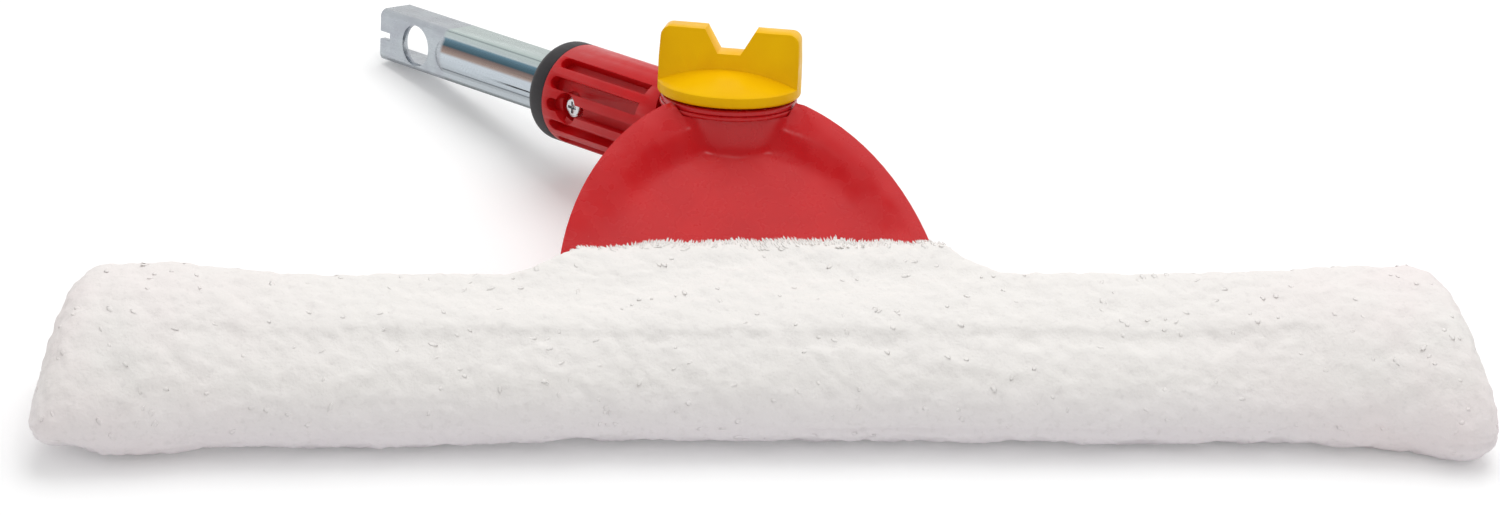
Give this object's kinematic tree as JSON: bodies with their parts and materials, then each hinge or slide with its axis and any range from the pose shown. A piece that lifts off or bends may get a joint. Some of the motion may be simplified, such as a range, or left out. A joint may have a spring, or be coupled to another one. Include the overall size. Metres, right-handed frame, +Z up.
{
  "type": "window strip washer",
  "caption": "Window-washing head: fleece sleeve on a flat bar, arched plate and a clamped swivel handle with a steel shank for a pole.",
  "frame": {"origin": "middle of the part's box, on the floor it lies on", "axes": "+X along the sleeve to the right as pictured, +Y from the sleeve towards the handle, +Z up"},
  "size_m": [0.3596, 0.22, 0.0671],
  "materials": {
    "red_plastic": "moulded, satin gloss",
    "yellow_plastic": "moulded, satin",
    "grey_plastic": "matt",
    "cap_plastic": "matt",
    "fleece": "short dense pile",
    "closure_tape": "hook and loop tape",
    "zinc_steel": "zinc plated, bright",
    "screw_steel": "zinc plated",
    "brass": "turned",
    "friction_rubber": "matt"
  },
  "bodies": {
    "head": {"carrier": "red_plastic", "bar_cap_left": "cap_plastic", "bar_cap_right": "cap_plastic", "sleeve": "fleece", "closure_hook_strip": "closure_tape", "closure_loop_strip": "closure_tape", "collar_washer": "red_plastic"},
    "handle": {"handle_body": "red_plastic", "handle_end_ring": "grey_plastic", "pole_shank": "zinc_steel", "swivel_bolt": "screw_steel", "bolt_spring_washer": "screw_steel", "bolt_washer": "screw_steel", "friction_washer": "friction_rubber", "shank_screw": "screw_steel", "shank_nut": "screw_steel"},
    "clamp_washer": {"knob_washer": "screw_steel"},
    "knob": {"knob": "yellow_plastic", "knob_insert": "brass"}
  },
  "joints": [
    {"name": "swivel", "type": "hinge", "parent": "head", "child": "handle", "pos_m": [0, -0.00813, 0.03549], "axis": [0, 0.2385, 0.9711], "range_deg": [-98, 32]},
    {"name": "knob_lift", "type": "slide", "parent": "handle", "child": "clamp_washer", "axis": [0, 0.2385, 0.9711], "range_m": [0, 0.002]},
    {"name": "knob_turn", "type": "hinge", "parent": "clamp_washer", "child": "knob", "pos_m": [0, -0.00487, 0.0488], "axis": [0, 0.2385, 0.9711], "range_deg": [0, 720]}
  ],
  "couplings": [
    {"joint": "knob_lift", "follows": "knob_turn", "m_per_rad": 0.00015915}
  ]
}
